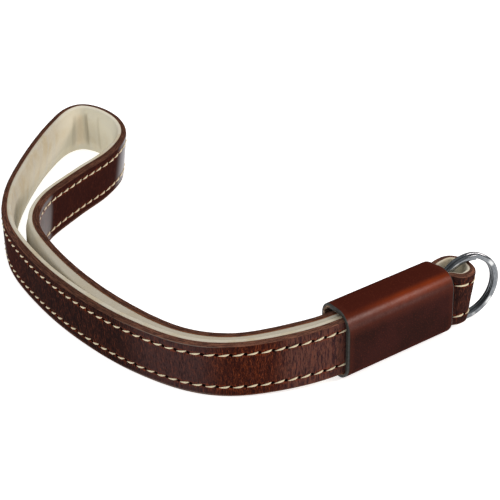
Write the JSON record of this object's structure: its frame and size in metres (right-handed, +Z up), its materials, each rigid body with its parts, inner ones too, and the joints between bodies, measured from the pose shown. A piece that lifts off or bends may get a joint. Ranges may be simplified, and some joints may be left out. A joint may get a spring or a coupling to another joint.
{
  "type": "camera wrist strap",
  "caption": "Leather wrist strap standing on its edge: a suede-lined wrist loop through a keeper sleeve, with a split ring in the eye that hooks on a camera.",
  "frame": {"origin": "centre of the footprint, on the surface the strap stands on", "axes": "+X runs along the strap from the wrist loop's round end towards the eye and its split ring, +Y is level and points across from the front run to the back of the strap, +Z is up, across the band's width"},
  "size_m": [0.1608, 0.0946, 0.0192],
  "materials": {
    "strap_leather": "smooth dark brown leather, a little worn at the bends",
    "strap_lining": "cream suede, matt",
    "keeper_sleeve": "smooth brown leather with dark painted edges",
    "split_ring": "bright nickel-plated steel wire"
  },
  "bodies": {
    "root": {"strap_leather": "strap_leather", "strap_lining": "strap_lining", "keeper_sleeve": "keeper_sleeve", "split_ring": "split_ring"}
  },
  "joints": []
}
